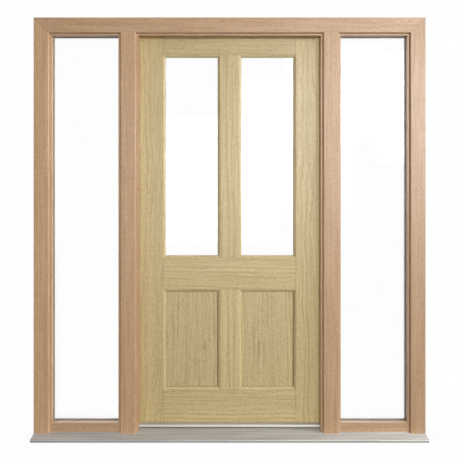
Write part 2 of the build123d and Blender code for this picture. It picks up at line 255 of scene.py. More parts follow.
@dataclass(frozen=True)
class OakBoard:
    """European oak, planed, sanded and sealed.

    Growth rings give soft bands of uneven width, the fibres give streaks along them, and the open pores of oak give
    short dark dashes. The sealer gives a satin sheen that follows the fibres. heart_mm is where the log's heart lies,
    across and behind the face, and slant_deg and lean_deg turn the grain. figure, streak and fleck scale the rings,
    fibres and flecks. The last field sets the board lighter or darker than its batch: partly its own tone, and partly
    painted light and shade.
    """

    tone: OakTone
    grain: Grain
    centre_mm: Triple
    seed: float
    heart_mm: Pair = (-40.0, 180.0)
    slant_deg: float = 0.6
    lean_deg: float = 0.8
    ring_mm: float = 11.0
    figure: float = 1.0
    streak: float = 1.0
    fleck: float = 1.0
    wander_mm: float = 9.0
    glue_line_mm: float | None = None
    knot: Knot | None = None
    seams: tuple[Seam, ...] = ()
    tone_and_painted_light: float = 1.0

    def material(self, title: str) -> Material:
        """Builds the board's material.

        Args:
            title: the material's name.

        Returns:
            A material on Object coordinates, so that the pattern stays on the board as it moves.
        """
        material, tree = blank_material(title)
        place = add_node(tree, "ShaderNodeTexCoord")
        board = self._board_place(tree, place.outputs["Object"])
        grown = self._grown(tree, board)
        rings = self._rings(tree, grown)
        fibre = self._noise(tree, grown, FIBRE)
        parts = (
            (fibre, FIBRE.strength * self.streak),
            (self._noise(tree, grown, FLECK), FLECK.strength * self.fleck),
            (rings, RING_STRENGTH * self.figure),
            (self._noise(tree, board, CLOUD), CLOUD.strength),
        )
        pore = self._pores(tree, grown, rings)
        colour = self._colour(tree, parts, pore, place.outputs["Object"])
        low, high = (self.tone.roughness + spread for spread in self.tone.gloss_spread)
        gloss = add_node(
            tree, "ShaderNodeMapRange",
            inputs={"Value": fibre, "From Min": NOISE_LOW, "From Max": NOISE_HIGH, "To Min": low, "To Max": high},
        )
        relief = add_node(tree, "ShaderNodeMath", {"operation": "SUBTRACT"}, {0: fibre, 1: pore})
        bump = add_node(
            tree, "ShaderNodeBump", inputs={"Strength": 0.35, "Distance": 0.4 * MM, "Height": relief.outputs[0]}
        )
        shader = add_node(
            tree, "ShaderNodeBsdfPrincipled",
            inputs={
                "Base Color": colour, "Roughness": gloss.outputs[0], "Normal": bump.outputs[0],
                "Coat Weight": self.tone.coat, "Coat Roughness": 0.35,
            },
        )
        add_node(tree, "ShaderNodeOutputMaterial", inputs={"Surface": shader.outputs[0]})
        return material

    def lay(self, name: str, surface: str) -> None:
        """Gives a node this board.

        Args:
            name: the node's name.
            surface: how the oak is finished.
        """
        paint(name, self.material(f"{surface} oak {name.replace('_', ' ')}"))

    def _board_place(self, tree: NodeTree, place: NodeSocket) -> NodeSocket:
        """Turns a place into the board's own millimetres: along the grain, through the depth, across the face.

        Args:
            tree: the node tree.
            place: the Object coordinates.

        Returns:
            The place on the board, which jumps past its glue line, so that the next board differs.
        """
        centred = add_node(
            tree, "ShaderNodeMapping", {"vector_type": "TEXTURE"},
            {
                "Vector": place, "Location": [c * MM for c in self.centre_mm],
                "Rotation": (0.0, math.radians(self.grain.value), 0.0), "Scale": (MM, MM, MM),
            },
        )
        board = centred.outputs[0]
        if self.glue_line_mm is None:
            return board
        parts = add_node(tree, "ShaderNodeSeparateXYZ", inputs={0: board})
        past = add_node(
            tree, "ShaderNodeMath", {"operation": "GREATER_THAN"}, {0: parts.outputs["Z"], 1: self.glue_line_mm}
        )
        step = add_node(tree, "ShaderNodeCombineXYZ", inputs={"X": past.outputs[0], "Z": past.outputs[0]})
        jump = add_node(
            tree, "ShaderNodeVectorMath", {"operation": "MULTIPLY_ADD"}, {0: step.outputs[0], 1: GLUE_JUMP_MM, 2: board}
        )
        return jump.outputs[0]

    def _grown(self, tree: NodeTree, board: NodeSocket) -> NodeSocket:
        """Lets the grain lean, wander and flow round a knot, as it grew in the tree.

        Args:
            tree: the node tree.
            board: the place on the board.

        Returns:
            The place measured from the heart of the log.
        """
        drift = add_node(
            tree, "ShaderNodeMapping",
            inputs={
                "Vector": board, "Location": [self.seed * s for s in WANDER_SEED],
                "Scale": [1 / s for s in WANDER_SIZE_MM],
            },
        )
        noise = add_node(tree, "ShaderNodeTexNoise", inputs={"Vector": drift.outputs[0], "Scale": 1.0, "Detail": 3.0})
        centred = add_node(
            tree, "ShaderNodeVectorMath", {"operation": "SUBTRACT"}, {0: noise.outputs["Color"], 1: (0.5, 0.5, 0.5)}
        )
        grown = add_node(
            tree, "ShaderNodeVectorMath", {"operation": "MULTIPLY_ADD"},
            {0: centred.outputs[0], 1: (0.0, self.wander_mm * WANDER_GAIN, self.wander_mm * WANDER_GAIN), 2: board},
        ).outputs[0]
        if self.knot:
            grown = self._round_knot(tree, grown)
        lean = add_node(
            tree, "ShaderNodeMapping", {"vector_type": "TEXTURE"},
            {
                "Vector": grown, "Location": (0.0, self.heart_mm[1], self.heart_mm[0]),
                "Rotation": (0.0, math.radians(self.slant_deg), math.radians(self.lean_deg)),
            },
        )
        return lean.outputs[0]

    def _knot_place(self) -> Triple:
        """The knot's place on the board, which jumps with the grain past the glue line."""
        past = self.glue_line_mm is not None and self.knot.across_mm > self.glue_line_mm
        jump = GLUE_JUMP_MM if past else (0.0, 0.0, 0.0)
        return self.knot.along_mm + jump[0], 0.0, self.knot.across_mm + jump[2]

    def _round_knot(self, tree: NodeTree, board: NodeSocket) -> NodeSocket:
        """Parts the grain round the knot.

        Args:
            tree: the node tree.
            board: the place on the board.

        Returns:
            The place with the lines near the knot pushed aside.
        """
        off = add_node(tree, "ShaderNodeVectorMath", {"operation": "SUBTRACT"}, {0: board, 1: self._knot_place()})
        reach = self.knot.radius_mm * self.knot.reach
        near = add_node(
            tree, "ShaderNodeVectorMath", {"operation": "MULTIPLY"},
            {0: off.outputs[0], 1: (1 / (reach * self.knot.stretch), 0.0, 1 / reach)},
        )
        length = add_node(tree, "ShaderNodeVectorMath", {"operation": "LENGTH"}, {0: near.outputs[0]})
        fall = add_node(
            tree, "ShaderNodeMapRange", {"interpolation_type": "SMOOTHERSTEP"},
            {"Value": length.outputs["Value"], "From Max": self.knot.fade, "To Min": -self.knot.aside, "To Max": 0.0},
        )
        aside = add_node(
            tree, "ShaderNodeVectorMath", {"operation": "MULTIPLY"}, {0: off.outputs[0], 1: (0.0, 0.0, 1.0)}
        )
        push = add_node(
            tree, "ShaderNodeVectorMath", {"operation": "SCALE"}, {0: aside.outputs[0], "Scale": fall.outputs[0]}
        )
        moved = add_node(tree, "ShaderNodeVectorMath", {"operation": "ADD"}, {0: board, 1: push.outputs[0]})
        return moved.outputs[0]

    def _rings(self, tree: NodeTree, grown: NodeSocket) -> NodeSocket:
        """Draws the growth rings about the heart of the log, good years wide and lean years narrow.

        Args:
            tree: the node tree.
            grown: the place measured from the heart.

        Returns:
            How dark each year's growth is, near one half on average.
        """
        flat = add_node(tree, "ShaderNodeVectorMath", {"operation": "MULTIPLY"}, {0: grown, 1: (0.0, 1.0, 1.0)})
        radius = add_node(tree, "ShaderNodeVectorMath", {"operation": "LENGTH"}, {0: flat.outputs[0]})
        years = add_node(tree, "ShaderNodeMath", {"operation": "DIVIDE"}, {0: radius.outputs["Value"], 1: self.ring_mm})
        growth = add_node(
            tree, "ShaderNodeTexNoise", {"noise_dimensions": "1D"},
            {"W": years.outputs[0], "Scale": 1.0, "Detail": 3.0, "Roughness": 0.65},
        )
        return growth.outputs["Fac"]

    def _noise(self, tree: NodeTree, place: NodeSocket, blotches: Blotches) -> NodeSocket:
        """Draws noise that is stretched along the grain.

        Args:
            tree: the node tree.
            place: the place on the board.
            blotches: their size and detail.

        Returns:
            The noise, from 0 to 1.
        """
        sized = add_node(
            tree, "ShaderNodeMapping",
            inputs={
                "Vector": place, "Location": [self.seed * s for s in BLOTCH_SEED],
                "Scale": [1 / s for s in blotches.size_mm],
            },
        )
        noise = add_node(
            tree, "ShaderNodeTexNoise", inputs={"Vector": sized.outputs[0], "Scale": 1.0, "Detail": blotches.detail}
        )
        return noise.outputs["Fac"]

    def _pores(self, tree: NodeTree, grown: NodeSocket, rings: NodeSocket) -> NodeSocket:
        """Draws the open pores, which lie thickest in each year's first growth.

        Args:
            tree: the node tree.
            grown: the place measured from the heart.
            rings: the growth rings.

        Returns:
            1 in a pore and 0 between pores.
        """
        dashes = self._noise(tree, grown, PORE)
        late, first = PORE_FLOOR
        floor = add_node(
            tree, "ShaderNodeMapRange",
            inputs={"Value": rings, "From Min": 0.35, "From Max": 0.65, "To Min": late, "To Max": first},
        )
        over = add_node(tree, "ShaderNodeMath", {"operation": "SUBTRACT"}, {0: dashes, 1: floor.outputs[0]})
        pore = add_node(tree, "ShaderNodeMapRange", inputs={"Value": over.outputs[0], "From Max": 0.06})
        return pore.outputs[0]

    def _colour(
        self, tree: NodeTree, parts: tuple[tuple[NodeSocket, float], ...], pore: NodeSocket, place: NodeSocket
    ) -> NodeSocket:
        """Mixes the batch's colours and draws the seams and the knot.

        Args:
            tree: the node tree.
            parts: each pattern with its strength, which are added about a middle of one half.
            pore: where the pores are.
            place: the Object coordinates.

        Returns:
            The board's colour.
        """
        depth = 0.5 - 0.5 * sum(strength for _, strength in parts)
        for pattern, strength in parts:
            node = add_node(tree, "ShaderNodeMath", {"operation": "MULTIPLY_ADD"}, {0: pattern, 1: strength, 2: depth})
            depth = node.outputs[0]
        tone = add_node(
            tree, "ShaderNodeMix", {"data_type": "RGBA"},
            {"Factor": depth, "A": linear(self.tone.pale, self.tone_and_painted_light), "B": linear(self.tone.deep, self.tone_and_painted_light)},
        )
        dark = add_node(tree, "ShaderNodeMath", {"operation": "MULTIPLY"}, {0: pore, 1: PORE.strength})
        share = dark.outputs[0]
        marks = [seam.hairline(tree, place) for seam in self.seams]
        if self.knot:
            marks.append(self._knot_eye(tree, place))
        for mark in marks:
            joined = add_node(tree, "ShaderNodeMath", {"operation": "MAXIMUM"}, {0: share, 1: mark})
            share = joined.outputs[0]
        mixed = add_node(
            tree, "ShaderNodeMix", {"data_type": "RGBA"},
            {"Factor": share, "A": tone.outputs["Result"], "B": linear(self.tone.pore, self.tone_and_painted_light)},
        )
        return mixed.outputs["Result"]

    def _knot_eye(self, tree: NodeTree, place: NodeSocket) -> NodeSocket:
        """Draws the knot's dark eye.

        Args:
            tree: the node tree.
            place: the Object coordinates.

        Returns:
            How dark the knot makes the board.
        """
        board = self._board_place(tree, place)
        off = add_node(tree, "ShaderNodeVectorMath", {"operation": "SUBTRACT"}, {0: board, 1: self._knot_place()})
        flat = add_node(
            tree, "ShaderNodeVectorMath", {"operation": "MULTIPLY"},
            {0: off.outputs[0], 1: (self.knot.eye_squash / self.knot.stretch, 0.0, 1.0)},
        )
        far = add_node(tree, "ShaderNodeVectorMath", {"operation": "LENGTH"}, {0: flat.outputs[0]})
        eye = add_node(
            tree, "ShaderNodeMapRange", {"interpolation_type": "SMOOTHSTEP"},
            {
                "Value": far.outputs["Value"], "From Min": self.knot.radius_mm * self.knot.eye[0],
                "From Max": self.knot.radius_mm * self.knot.eye[1], "To Min": self.knot.darkness, "To Max": 0.0,
            },
        )
        return eye.outputs[0]


@dataclass(frozen=True)
class ShadowLine:
    """A painted shadow line along an extrusion, for the shade behind a lip, low on a nose and where two extrusions
    meet.

    It has a place on the named axis, half its width, its darkness and how far its edge is soft to each side.
    """

    axis: str
    at_mm: float
    half_mm: float
    depth: float
    soft_mm: float = 1.0
    shadow_colour: str = "#2E2A25"


@dataclass(frozen=True)
class BrushedMetal:
    """Metal with a fine straight brushing along X.

    The brushing breaks a reflection into thin lines. Real scratches are a few hundredths of a millimetre wide, and
    these are drawn 0.6 mm wide on the hinges and 4 to 11 mm wide on the extrusions, so that they show. An anodised
    skin is duller than bare metal, which a metallic share below 1 gives.
    """

    colour: str
    roughness: float
    metallic: float = 1.0
    contrast: float = 0.12
    scratch_mm: Triple = (420.0, 4.0, 4.0)
    gloss_spread: float = 0.07
    lines: tuple[ShadowLine, ...] = ()

    def material(self, title: str) -> Material:
        """Builds the metal.

        Args:
            title: the material's name.

        Returns:
            The material.
        """
        material, tree = blank_material(title)
        place = add_node(tree, "ShaderNodeTexCoord")
        sized = add_node(
            tree, "ShaderNodeMapping",
            inputs={"Vector": place.outputs["Object"], "Scale": [1 / (s * MM) for s in self.scratch_mm]},
        )
        scratch = add_node(
            tree, "ShaderNodeTexNoise",
            inputs={"Vector": sized.outputs[0], "Scale": 1.0, "Detail": 4.0, "Roughness": 0.6},
        )
        low, high = self.roughness - self.gloss_spread, self.roughness + self.gloss_spread
        value = scratch.outputs["Fac"]
        gloss = add_node(
            tree, "ShaderNodeMapRange",
            inputs={"Value": value, "From Min": NOISE_LOW, "From Max": NOISE_HIGH, "To Min": low, "To Max": high},
        )
        dull = linear(self.colour, 1 - 2 * self.contrast)
        tone = add_node(
            tree, "ShaderNodeMix", {"data_type": "RGBA"}, {"Factor": value, "A": linear(self.colour), "B": dull}
        )
        bump = add_node(tree, "ShaderNodeBump", inputs={"Strength": 0.2, "Distance": 0.2 * MM, "Height": value})
        shader = add_node(
            tree, "ShaderNodeBsdfPrincipled",
            inputs={
                "Base Color": self._lined(tree, tone.outputs["Result"], place.outputs["Object"]),
                "Metallic": self.metallic, "Roughness": gloss.outputs[0], "Normal": bump.outputs[0],
            },
        )
        add_node(tree, "ShaderNodeOutputMaterial", inputs={"Surface": shader.outputs[0]})
        return material

    def _lined(self, tree: NodeTree, colour: NodeSocket, place: NodeSocket) -> NodeSocket:
        """Draws the painted shadow lines.

        Args:
            tree: the node tree.
            colour: the metal's colour.
            place: the Object coordinates.

        Returns:
            The colour with the lines in it.
        """
        parts = add_node(tree, "ShaderNodeSeparateXYZ", inputs={0: place})
        for line in self.lines:
            off = add_node(
                tree, "ShaderNodeMath", {"operation": "SUBTRACT"}, {0: parts.outputs[line.axis], 1: line.at_mm * MM}
            )
            core_mm, edge_mm = line.half_mm - line.soft_mm, line.half_mm + line.soft_mm
            share = dark_line(tree, off.outputs[0], core_mm, edge_mm, line.depth)
            mixed = add_node(
                tree, "ShaderNodeMix", {"data_type": "RGBA"}, {"Factor": share, "A": colour, "B": linear(line.shadow_colour)}
            )
            colour = mixed.outputs["Result"]
        return colour


@dataclass(frozen=True)
class FloatGlass:
    """Clear float glass, flat and fire-polished, so it reflects sharply and has next to no tint.

    Shadow rays pass straight through it, so that the lamps light what is behind it.
    """

    tint: str = "#FEFEFE"
    ior: float = 1.5

    def material(self, title: str) -> Material:
        """Builds the glass.

        Args:
            title: the material's name.

        Returns:
            The material.
        """
        material, tree = blank_material(title)
        glass = add_node(
            tree, "ShaderNodeBsdfPrincipled",
            inputs={"Base Color": linear(self.tint), "Roughness": 0.0, "IOR": self.ior, "Transmission Weight": 1.0},
        )
        clear = add_node(tree, "ShaderNodeBsdfTransparent", inputs={"Color": linear(self.tint)})
        path = add_node(tree, "ShaderNodeLightPath")
        mixed = add_node(
            tree, "ShaderNodeMixShader",
            inputs={0: path.outputs["Is Shadow Ray"], 1: glass.outputs[0], 2: clear.outputs[0]},
        )
        add_node(tree, "ShaderNodeOutputMaterial", inputs={"Surface": mixed.outputs[0]})
        return material


@dataclass(frozen=True)
class SpacerBar:
    """The warm grey plastic bar that holds the two panes of a sealed unit apart, matt and faintly grained as moulded.

    The real grain is finer: it is drawn 1.1 mm wide, 900 to the metre, with hollows a tenth darker.
    """

    colour: str = "#6E655B"
    roughness: float = 0.55
    grains_per_m: float = 900.0
    hollow: float = 0.9

    def material(self, title: str) -> Material:
        """Builds the bar's finish.

        Args:
            title: the material's name.

        Returns:
            The material.
        """
        material, tree = blank_material(title)
        place = add_node(tree, "ShaderNodeTexCoord")
        grit = add_node(
            tree, "ShaderNodeTexNoise",
            inputs={"Vector": place.outputs["Object"], "Scale": self.grains_per_m, "Detail": 2.0},
        )
        deep = linear(self.colour, self.hollow)
        tone = add_node(
            tree, "ShaderNodeMix", {"data_type": "RGBA"},
            {"Factor": grit.outputs["Fac"], "A": deep, "B": linear(self.colour)},
        )
        shader = add_node(
            tree, "ShaderNodeBsdfPrincipled", inputs={"Base Color": tone.outputs["Result"], "Roughness": self.roughness}
        )
        add_node(tree, "ShaderNodeOutputMaterial", inputs={"Surface": shader.outputs[0]})
        return material


# Sanded and oiled oak looks dry and pinkish. Lacquered oak looks straw yellow under a thin clear coat.
PINK_OAK = OakTone(pale="#C2A07E", deep="#A58059", pore="#735131", coat=0.0)
STRAW_OAK = OakTone(pale="#CCB886", deep="#AD9865", pore="#85703D", roughness=0.39)
PANEL_OAK = OakTone(pale="#C8B586", deep="#AB9566", pore="#7F6A3A", roughness=0.39)


@dataclass
class FrameTimber:
    """The oak frame: a head mitred to the jambs, mullions coped under the head, and low rails under the sidelights.

    The left jamb and mullion are painted lighter and the right ones darker: painted light and shade against the lamps,
    which light the right of the set most. The head and the sidelight rails are painted a little darker, as painted
    shade.
    """

    half_width_mm: float = 973.5
    height_mm: float = 2090.0
    face_mm: float = 69.0
    mullion_mm: float = 505.25
    sidelight_mm: float = 722.0
    rail_middle_mm: float = 52.0
    bead_middle_mm: float = 1000.0
    butt_depth: float = 0.5

    def dress(self) -> None:
        """Gives every timber of the frame its own board of oak."""
        mitre_left = Seam(-self.half_width_mm, self.height_mm, (1.0, 1.0))
        mitre_right = Seam(self.half_width_mm, self.height_mm, (-1.0, 1.0))
        butt_mm = self.height_mm - self.face_mm
        # The head is set a little darker than its batch, as painted shade.
        head = OakBoard(
            PINK_OAK, Grain.LEVEL, (0.0, 0.0, self.height_mm - self.face_mm / 2), 11.0, heart_mm=(-60.0, 150.0),
            figure=0.7, streak=0.75, fleck=0.75, seams=(mitre_left, mitre_right), tone_and_painted_light=0.965,
        )
        head.lay("head", "sanded")
        # The last two numbers of each side set the jamb and the mullion lighter or darker than their batch: painted
        # light on the left and painted shade on the right.
        sides = (("left", -1, mitre_left, 3.0, 1.1, 1.02), ("right", 1, mitre_right, 5.0, 0.885, 0.955))
        for hand, side, mitre, seed, jamb_tone_and_light, mullion_tone_and_light in sides:
            middle_mm = side * (self.half_width_mm - self.face_mm / 2)
            jamb = OakBoard(
                PINK_OAK, Grain.UPRIGHT, (middle_mm, 0.0, self.height_mm / 2), seed, heart_mm=(120.0 * side, 90.0),
                slant_deg=0.4 * side, figure=0.55, streak=0.75, fleck=0.75, seams=(mitre,), tone_and_painted_light=jamb_tone_and_light,
            )
            jamb.lay(f"{hand}_jamb", "sanded")
            mullion = OakBoard(
                PINK_OAK, Grain.UPRIGHT, (side * self.mullion_mm, 0.0, self.height_mm / 2), seed + 21.0,
                heart_mm=(-140.0 * side, 70.0), slant_deg=-0.3 * side, figure=0.5, streak=0.75, fleck=0.75,
                seams=(Seam(0.0, butt_mm, (0.0, 1.0), self.butt_depth),), tone_and_painted_light=mullion_tone_and_light,
            )
            mullion.lay(f"{hand}_mullion", "sanded")
            # The sidelight rails are set darker than their batch, as painted shade.
            rail = OakBoard(
                PINK_OAK, Grain.LEVEL, (side * self.sidelight_mm, 0.0, self.rail_middle_mm), seed + 33.0,
                heart_mm=(70.0, 60.0), tone_and_painted_light=0.88,
            )
            rail.lay(f"{hand}_sidelight_rail", "sanded")
            bead_place_mm = (side * self.sidelight_mm, 0.0, self.bead_middle_mm)
            bead = OakBoard(PINK_OAK, Grain.UPRIGHT, bead_place_mm, seed + 41.0)
            bead.lay(f"{hand}_sidelight_beads", "sanded")


@dataclass
class Leaf:
    """The oak leaf: two stiles, three rails and two muntins round four openings, glazed above and panelled below."""

    stile_edge_mm: float = 339.0
    half_leaf_mm: float = 463.0
    muntin_edge_mm: float = 47.5
    bottom_mm: float = 37.5
    top_mm: float = 2014.5
    top_rail_mm: float = 92.5
    lock_rail_mm: Pair = (727.0, 886.0)
    bottom_rail_top_mm: float = 214.5
    moulding_mm: float = 13.5
    front_mm: float = 17.5
    opening_mm: float = 193.0
    panel_middle_mm: float = 472.0
    panel_depth_mm: float = 30.0
    bead_depth_mm: float = 40.0
    bead_middle_mm: float = 1000.0
    rail_seam: float = 0.95
    muntin_seam: float = 0.6
    # The line round each panel is its joint with the moulding, drawn darker and wider with painted shade of the recess.
    quirk_joint_and_shade: float = 0.5
    quirk_inset_mm: float = 1.0

    def dress(self) -> None:
        """Gives every board of the leaf its own figure."""
        self._stiles()
        self._rails()
        self._muntins()
        self._panels()

    def _stiles(self) -> None:
        """Dresses the two stiles, which run the full height."""
        across_mm = (self.stile_edge_mm + self.half_leaf_mm) / 2
        middle_mm = (self.bottom_mm + self.top_mm) / 2
        # Each stile is set a little darker than its batch: partly its own tone, and partly painted shade.
        hinge = OakBoard(
            STRAW_OAK, Grain.UPRIGHT, (-across_mm, self.front_mm, middle_mm), 57.0, heart_mm=(150.0, 95.0),
            slant_deg=1.6, lean_deg=1.2, figure=0.75, wander_mm=16.0, tone_and_painted_light=0.95,
        )
        lock = OakBoard(
            STRAW_OAK, Grain.UPRIGHT, (across_mm, self.front_mm, middle_mm), 63.0, heart_mm=(-120.0, 80.0),
            slant_deg=-1.4, lean_deg=1.4, figure=1.1, wander_mm=16.0, tone_and_painted_light=0.97,
        )
        hinge.lay("hinge_stile", "lacquered")
        lock.lay("lock_stile", "lacquered")

    def _rails(self) -> None:
        """Dresses the three rails, with a hairline where each meets the stiles."""
        ends = tuple(Seam(side * self.stile_edge_mm, 0.0, (1.0, 0.0), self.rail_seam) for side in (-1, 1))
        # The last number of each rail sets it lighter or darker than its batch: partly its own tone, and partly painted
        # shade, darkest on the top rail.
        rails = {
            "top_rail": (self.top_mm - self.top_rail_mm / 2, 71.0, (90.0, 70.0), 1.0, 0.89),
            "lock_rail": (sum(self.lock_rail_mm) / 2, 83.0, (-130.0, 60.0), 0.9, 0.99),
            "bottom_rail": ((self.bottom_mm + self.bottom_rail_top_mm) / 2, 95.0, (110.0, 40.0), 1.5, 0.95),
        }
        for name, (height_mm, seed, heart_mm, figure, tone_and_painted_light) in rails.items():
            rail = OakBoard(
                STRAW_OAK, Grain.LEVEL, (0.0, self.front_mm, height_mm), seed, heart_mm=heart_mm, slant_deg=0.9,
                lean_deg=1.6, figure=figure, wander_mm=11.0, seams=ends, tone_and_painted_light=tone_and_painted_light,
            )
            rail.lay(name, "lacquered")

    def _muntins(self) -> None:
        """Dresses the two muntins, with a hairline where each meets the rails."""
        # The last number of each muntin sets it lighter or darker than its batch: partly its own tone, and partly
        # painted light and shade.
        upper = ((self.lock_rail_mm[1] + self.top_mm - self.top_rail_mm) / 2, 101.0, 0.8, 0.94)
        lower = ((self.bottom_rail_top_mm + self.lock_rail_mm[0]) / 2, 113.0, 0.9, 1.02)
        heights = (self.lock_rail_mm[0], self.lock_rail_mm[1], self.bottom_rail_top_mm, self.top_mm - self.top_rail_mm)
        butts = tuple(Seam(0.0, height_mm, (0.0, 1.0), self.muntin_seam) for height_mm in heights)
        for name, (height_mm, seed, figure, tone_and_painted_light) in {"upper_muntin": upper, "lower_muntin": lower}.items():
            muntin = OakBoard(
                STRAW_OAK, Grain.UPRIGHT, (0.0, self.front_mm, height_mm), seed, heart_mm=(100.0, 120.0),
                slant_deg=0.5, figure=figure, seams=butts, tone_and_painted_light=tone_and_painted_light,
            )
            muntin.lay(name, "lacquered")

    def _panels(self) -> None:
        """Dresses the two glued panels and the beads behind the panels and the glass."""
        left = OakBoard(
            PANEL_OAK, Grain.UPRIGHT, (-self.opening_mm, self.panel_depth_mm, self.panel_middle_mm), 127.0,
            heart_mm=(20.0, 60.0), slant_deg=1.0, lean_deg=3.0, figure=1.1, glue_line_mm=-19.0,
            knot=Knot(-42.0, -62.0, radius_mm=8.0), seams=self._quirks(-1),
        )
        right = OakBoard(
            PANEL_OAK, Grain.UPRIGHT, (self.opening_mm, self.panel_depth_mm, self.panel_middle_mm), 139.0,
            heart_mm=(40.0, 45.0), slant_deg=-0.8, lean_deg=4.0, figure=1.1, glue_line_mm=17.0,
            knot=Knot(-50.0, 43.0, stretch=14.0, darkness=0.6), seams=self._quirks(1),
        )
        left.lay("left_panel", "lacquered")
        right.lay("right_panel", "lacquered")
        for hand, side in (("left", -1), ("right", 1)):
            place_mm = (side * self.opening_mm, self.bead_depth_mm, self.bead_middle_mm)
            for use in ("glass", "panel"):
                bead = OakBoard(STRAW_OAK, Grain.UPRIGHT, place_mm, 150.0 + side)
                bead.lay(f"{hand}_{use}_beads", "lacquered")

    def _quirks(self, side: int) -> tuple[Seam, ...]:
        """The hairlines round a panel, where it goes into the groove behind the moulding: the joint, with painted shade
        of the recess.

        Args:
            side: -1 for the left panel and 1 for the right.

        Returns:
            A seam for each edge of the seen part of the panel, just inside it.
        """
        inset_mm = self.moulding_mm + self.quirk_inset_mm
        across = (self.muntin_edge_mm + inset_mm, self.stile_edge_mm - inset_mm)
        up = (self.bottom_rail_top_mm + inset_mm, self.lock_rail_mm[0] - inset_mm)
        sides = tuple(Seam(side * x_mm, 0.0, (1.0, 0.0), self.quirk_joint_and_shade) for x_mm in across)
        ends = tuple(Seam(0.0, z_mm, (0.0, 1.0), self.quirk_joint_and_shade) for z_mm in up)
        return sides + ends


@dataclass
class Metalwork:
    """The sloping sill and the threshold bar, both brushed aluminium."""

    def dress(self) -> None:
        """Gives the two extrusions their brushed faces, pale and soft under an anodised skin."""
        # Painted shadow lines on the sill: the shade just behind its lip, and low on its nose.
        behind_lip = ShadowLine("Y", -113.0, 3.5, 0.3)
        below_lip = ShadowLine("Z", 3.0, 6.5, 0.3)
        sill = BrushedMetal(
            "#D6D3CD", 0.5, metallic=0.2, contrast=0.4, scratch_mm=(350.0, 11.0, 5.0), lines=(behind_lip, below_lip)
        )
        # Painted shadow lines on the threshold: a faint shade on its top under the leaf, and a dark one in the gap at
        # its foot on the sill.
        seat = ShadowLine("Y", 8.0, 16.0, 0.12)
        undercut = ShadowLine("Z", 34.5, 4.0, 0.7)
        bar = BrushedMetal("#BBB8B3", 0.5, metallic=0.3, contrast=0.08, lines=(seat, undercut))
        paint("sill", sill.material("anodised aluminium sill"))
        paint("threshold", bar.material("anodised aluminium threshold"))


@dataclass
class Glazing:
    """The four sealed units: clear panes and their spacer bars."""

    def dress(self) -> None:
        """Gives panes and bars their finishes."""
        glass = FloatGlass().material("clear float glass")
        bar = SpacerBar().material("moulded spacer bar")
        for hand in ("left", "right"):
            for place in ("sidelight", "door"):
                paint(f"{hand}_{place}_glass", glass)
                paint(f"{hand}_{place}_spacer", bar)


@dataclass(frozen=True)
class ScrewHead:
    """A countersunk screw head, all but flush with its plate, with a cross recess."""

    radius_mm: float = 4.2
    proud_mm: float = 0.2
    recess_mm: float = 0.15
    arm_mm: float = 2.5
    arm_half_mm: float = 0.45
    rim_mm: float = 0.2

    def add_to(self, shape: bmesh.types.BMesh, place: Matrix) -> None:
        """Adds one head to a mesh.

        Args:
            shape: the mesh under construction.
            place: where the head goes, with Z out of the plate.
        """
        top = self.proud_mm * MM
        at_top = place @ Matrix.Translation((0, 0, top))
        inner = (self.radius_mm - self.rim_mm) * MM
        rim = bmesh.ops.create_circle(shape, segments=32, radius=inner, matrix=at_top)["verts"]
        rim_edges = list({edge for vert in rim for edge in vert.link_edges})
        cross = [shape.verts.new(place @ Vector((x * MM, y * MM, top))) for x, y in self._cross()]
        cross_edges = [shape.edges.new((a, b)) for a, b in zip(cross, cross[1:] + cross[:1])]
        bmesh.ops.bridge_loops(shape, edges=rim_edges + cross_edges)
        out = place.to_3x3() @ Vector((0.0, 0.0, 1.0))
        sunk = bmesh.ops.extrude_edge_only(shape, edges=cross_edges)["geom"]
        sunk_verts = [g for g in sunk if isinstance(g, bmesh.types.BMVert)]
        bmesh.ops.translate(shape, verts=sunk_verts, vec=-out * self.recess_mm * MM)
        bmesh.ops.edgeloop_fill(shape, edges=[g for g in sunk if isinstance(g, bmesh.types.BMEdge)])
        skirt = bmesh.ops.extrude_edge_only(shape, edges=rim_edges)["geom"]
        skirt_verts = [g for g in skirt if isinstance(g, bmesh.types.BMVert)]
        bmesh.ops.translate(shape, verts=skirt_verts, vec=-out * top)
        spread = self.radius_mm / (self.radius_mm - self.rim_mm)
        bmesh.ops.scale(
            shape, verts=skirt_verts, vec=(spread, spread, spread), space=Matrix.Translation(-place.translation)
        )

    def _cross(self) -> list[Pair]:
        """The outline of the cross recess in millimetres."""
        arm, half = self.arm_mm, self.arm_half_mm
        quarter = [(arm, -half), (arm, half), (half, half)]
        outline = []
        for turn in range(4):
            angle = math.radians(90 * turn)
            c, s = math.cos(angle), math.sin(angle)
            outline += [(x * c - y * s, x * s + y * c) for x, y in quarter]
        return outline


